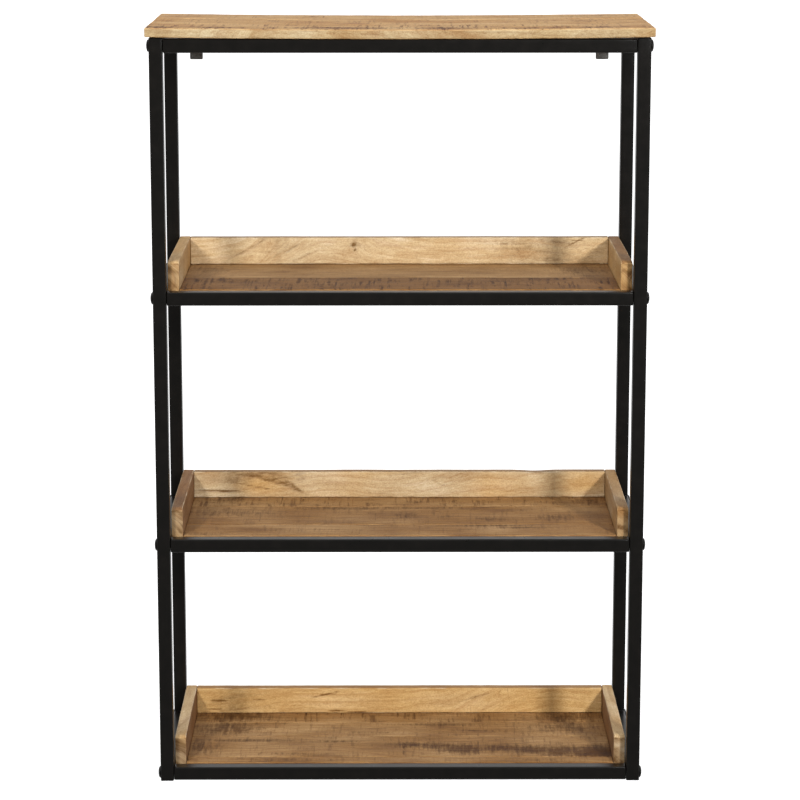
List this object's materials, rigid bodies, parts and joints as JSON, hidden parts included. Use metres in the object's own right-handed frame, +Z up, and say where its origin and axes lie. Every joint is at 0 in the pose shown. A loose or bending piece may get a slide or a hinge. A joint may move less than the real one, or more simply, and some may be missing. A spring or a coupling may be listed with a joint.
{
  "type": "bookcase",
  "caption": "Open bookcase: black square-tube steel frame bolted at the legs, a rough wooden top plank, and wooden trays with low back and side boards, open at the front.",
  "frame": {"origin": "on the floor, midway between the feet in width and depth", "axes": "+Z up; the open front faces -Y; +X is to the right for someone facing the front"},
  "size_m": [0.7, 0.3, 1.08],
  "materials": {
    "frame_steel": "satin black powder coat",
    "black_bolt": "black domed bolt heads",
    "black_plastic": "moulded black plastic",
    "plank_wood": "rough sawn, lightly lacquered",
    "floor_wood": "rough sawn browner planks, saw marks, lightly lacquered",
    "wall_wood": "honey tan boards with knots, lightly lacquered",
    "zinc_steel": "grey zinc plate"
  },
  "bodies": {
    "root": {"leg_front_left": "frame_steel", "foot_plug_front_left": "black_plastic", "bolt_front_left_1": "black_bolt", "bolt_front_left_2": "black_bolt", "bolt_front_left_3": "black_bolt", "bolt_front_left_4": "black_bolt", "leg_front_right": "frame_steel", "foot_plug_front_right": "black_plastic", "bolt_front_right_1": "black_bolt", "bolt_front_right_2": "black_bolt", "bolt_front_right_3": "black_bolt", "bolt_front_right_4": "black_bolt", "leg_rear_left": "frame_steel", "foot_plug_rear_left": "black_plastic", "bolt_rear_left_1": "black_bolt", "bolt_rear_left_2": "black_bolt", "bolt_rear_left_3": "black_bolt", "bolt_rear_left_4": "black_bolt", "leg_rear_right": "frame_steel", "foot_plug_rear_right": "black_plastic", "bolt_rear_right_1": "black_bolt", "bolt_rear_right_2": "black_bolt", "bolt_rear_right_3": "black_bolt", "bolt_rear_right_4": "black_bolt", "front_rail_1": "frame_steel", "rear_rail_1": "frame_steel", "side_rail_left_1": "frame_steel", "side_rail_right_1": "frame_steel", "front_rail_2": "frame_steel", "rear_rail_2": "frame_steel", "side_rail_left_2": "frame_steel", "side_rail_right_2": "frame_steel", "front_rail_3": "frame_steel", "rear_rail_3": "frame_steel", "side_rail_left_3": "frame_steel", "side_rail_right_3": "frame_steel", "front_rail_4": "frame_steel", "rear_rail_4": "frame_steel", "side_rail_left_4": "frame_steel", "side_rail_right_4": "frame_steel", "tray_1_floor": "floor_wood", "tray_1_back": "wall_wood", "tray_1_side_left": "wall_wood", "tray_1_side_right": "wall_wood", "tray_2_floor": "floor_wood", "tray_2_back": "wall_wood", "tray_2_side_left": "wall_wood", "tray_2_side_right": "wall_wood", "tray_3_floor": "floor_wood", "tray_3_back": "wall_wood", "tray_3_side_left": "wall_wood", "tray_3_side_right": "wall_wood", "top_plank": "plank_wood", "wall_strap_left": "zinc_steel", "wall_strap_screw_left": "zinc_steel", "wall_strap_right": "zinc_steel", "wall_strap_screw_right": "zinc_steel"}
  },
  "joints": []
}
